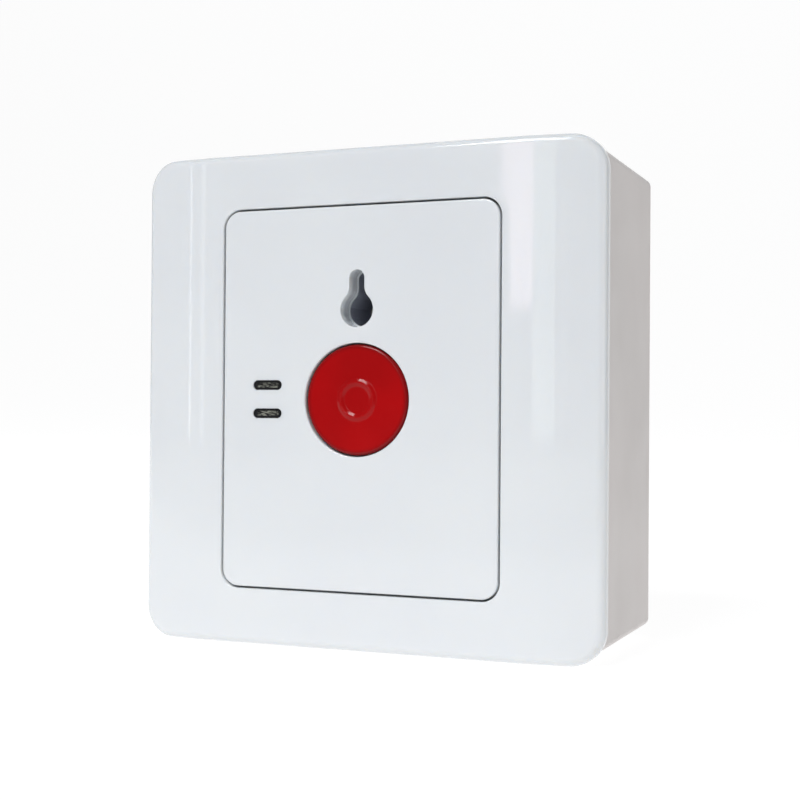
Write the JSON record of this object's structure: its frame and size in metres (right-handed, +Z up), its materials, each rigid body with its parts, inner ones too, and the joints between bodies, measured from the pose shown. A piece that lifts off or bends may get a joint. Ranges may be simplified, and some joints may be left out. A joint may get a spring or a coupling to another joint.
{
  "type": "emergency call button",
  "caption": "Square wall-mounted call station with a round push button that latches in, a pear-shaped key opening that resets it and slim indicator slots.",
  "frame": {"origin": "centre of the back face of the surface box, on the wall", "axes": "+Y into the wall, so the button faces -Y; +Z up the wall; +X to the right as seen from the front"},
  "size_m": [0.086, 0.0402, 0.086],
  "materials": {
    "cover_white": "injection-moulded, high gloss",
    "box_white": "injection-moulded, satin",
    "button_red": "injection-moulded, high gloss",
    "spring_steel": "drawn wire",
    "latch_nylon": "moulded nylon",
    "inner_grey": "injection-moulded, matt",
    "guide_smoke": "clear moulding, looks dark when unlit",
    "board_green": "solder-masked laminate",
    "switch_black": "moulded",
    "plunger_white": "moulded",
    "terminal_green": "moulded",
    "lamp_lens": "cast epoxy",
    "resistor_tan": "lacquered",
    "screw_zinc": "zinc-plated",
    "insert_brass": "turned"
  },
  "bodies": {
    "housing": {"back_box": "box_white", "front_frame": "cover_white", "function_panel": "cover_white", "button_spring": "spring_steel", "latch_spring": "spring_steel", "mechanism_housing": "inner_grey", "light_guide": "guide_smoke", "circuit_board": "board_green", "push_switch": "switch_black", "terminal_block": "terminal_green", "led_1": "lamp_lens", "led_2": "lamp_lens", "resistor_1": "resistor_tan", "resistor_2": "resistor_tan", "terminal_screw_1": "screw_zinc", "housing_screw_1": "screw_zinc", "terminal_screw_2": "screw_zinc", "housing_screw_2": "screw_zinc", "terminal_screw_3": "screw_zinc", "housing_screw_3": "screw_zinc", "terminal_screw_4": "screw_zinc", "housing_screw_4": "screw_zinc", "board_screw_1": "screw_zinc", "plate_screw_1": "screw_zinc", "post_insert_1": "insert_brass", "board_screw_2": "screw_zinc", "plate_screw_2": "screw_zinc", "post_insert_2": "insert_brass"},
    "button": {"push_button": "button_red", "switch_plunger": "plunger_white"},
    "latch": {"latch_slide": "latch_nylon"}
  },
  "joints": [
    {"name": "button_press", "type": "slide", "parent": "housing", "child": "button", "axis": [0, 1, 0], "range_m": [0, 0.0035], "stiffness_N_per_m": 400, "springref_m": -0.003, "deforming": ["button_spring"]},
    {"name": "latch_slide", "type": "slide", "parent": "housing", "child": "latch", "axis": [0, 0, -1], "range_m": [0, 0.00105], "deforming": ["latch_spring"]}
  ],
  "couplings": [
    {"joint": "latch_slide", "follows": "button_press", "ratio": 0.3}
  ]
}
